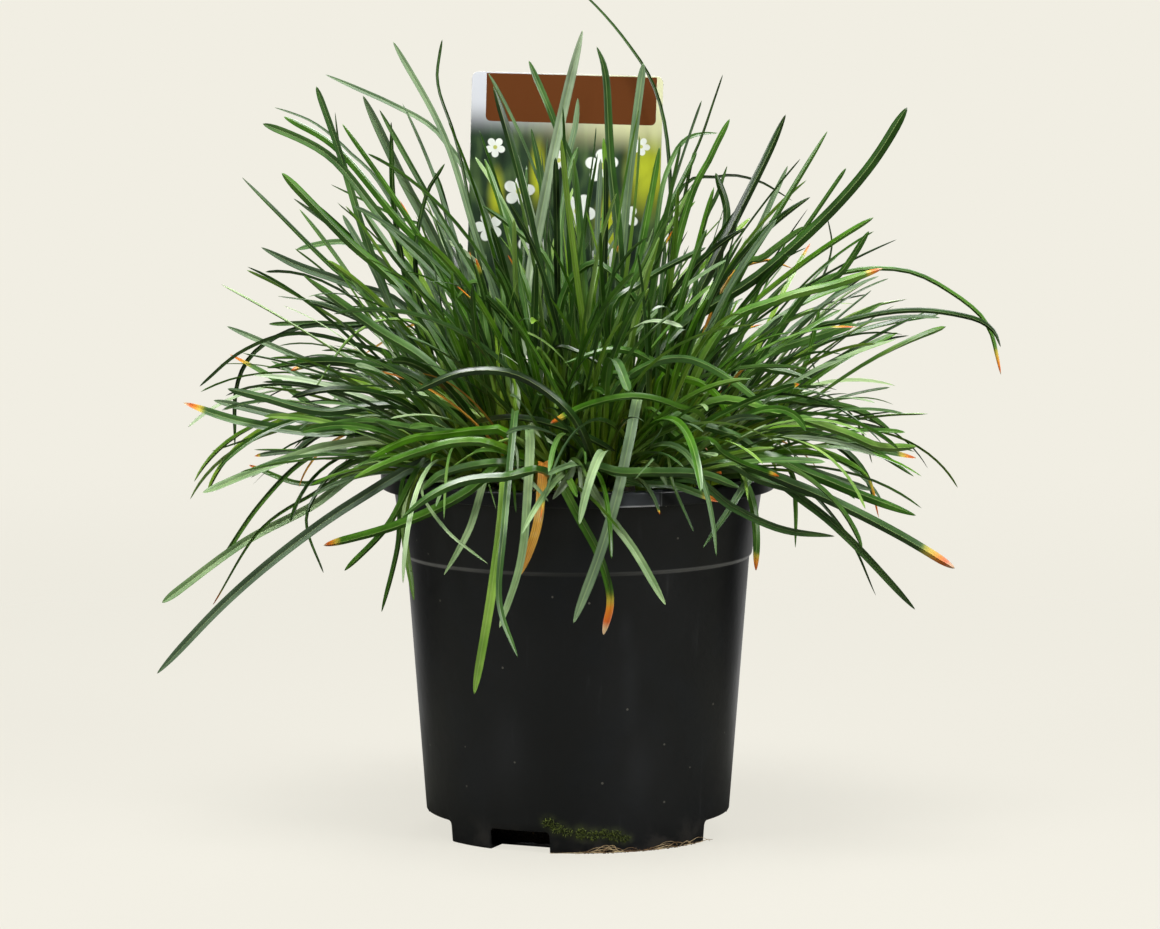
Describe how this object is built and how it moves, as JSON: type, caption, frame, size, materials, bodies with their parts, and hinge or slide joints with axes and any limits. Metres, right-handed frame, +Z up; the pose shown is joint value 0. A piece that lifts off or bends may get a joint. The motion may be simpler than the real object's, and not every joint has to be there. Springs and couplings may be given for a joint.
{
  "type": "potted blue moor grass",
  "caption": "Blue moor grass: a dense clump of arching leaf blades growing in a round plastic nursery pot of soil, with a plain plant label on a stake.",
  "frame": {"origin": "on the pot's axis, on the level that the pot stands on, at the middle of the plant's box", "axes": "+Z up through the pot's rim, -Y towards the front, +X to the right as seen from the front"},
  "size_m": [0.3599, 0.336, 0.3707],
  "materials": {
    "pot_plastic": "black moulded polypropylene, satin, faint scuffs and dust",
    "soil": "damp dark potting soil, matt and crumbly",
    "label_card": "printed plastic card, satin, brown band over a soft green garden print",
    "green_leaf": "waxy leaf, glossy green above and blue-grey below, fine ribs along its length",
    "dry_leaf": "dry straw-coloured leaf, matt, fine ribs along its length"
  },
  "bodies": {
    "root": {"pot": "pot_plastic", "soil": "soil", "plant_label": "label_card", "tuft_01": "green_leaf", "tuft_02": "green_leaf", "tuft_03": "green_leaf", "tuft_04": "green_leaf", "tuft_05": "green_leaf", "tuft_06": "green_leaf", "tuft_07": "green_leaf", "tuft_08": "green_leaf", "tuft_09": "green_leaf", "tuft_10": "green_leaf", "tuft_11": "green_leaf", "tuft_12": "green_leaf", "tuft_13": "green_leaf", "tuft_14": "green_leaf", "tuft_15": "green_leaf", "tuft_16": "green_leaf", "tuft_17": "green_leaf", "tuft_18": "green_leaf", "tuft_19": "green_leaf", "tuft_20": "green_leaf", "tuft_21": "green_leaf", "tuft_22": "green_leaf", "tuft_23": "green_leaf", "tuft_24": "green_leaf", "tuft_25": "green_leaf", "tuft_26": "green_leaf", "tuft_27": "green_leaf", "tuft_28": "green_leaf", "tuft_29": "green_leaf", "tuft_30": "green_leaf", "tuft_31": "green_leaf", "tuft_32": "green_leaf", "dry_tuft_1": "dry_leaf", "dry_tuft_2": "dry_leaf", "dry_tuft_3": "dry_leaf", "dry_tuft_4": "dry_leaf"}
  },
  "joints": []
}
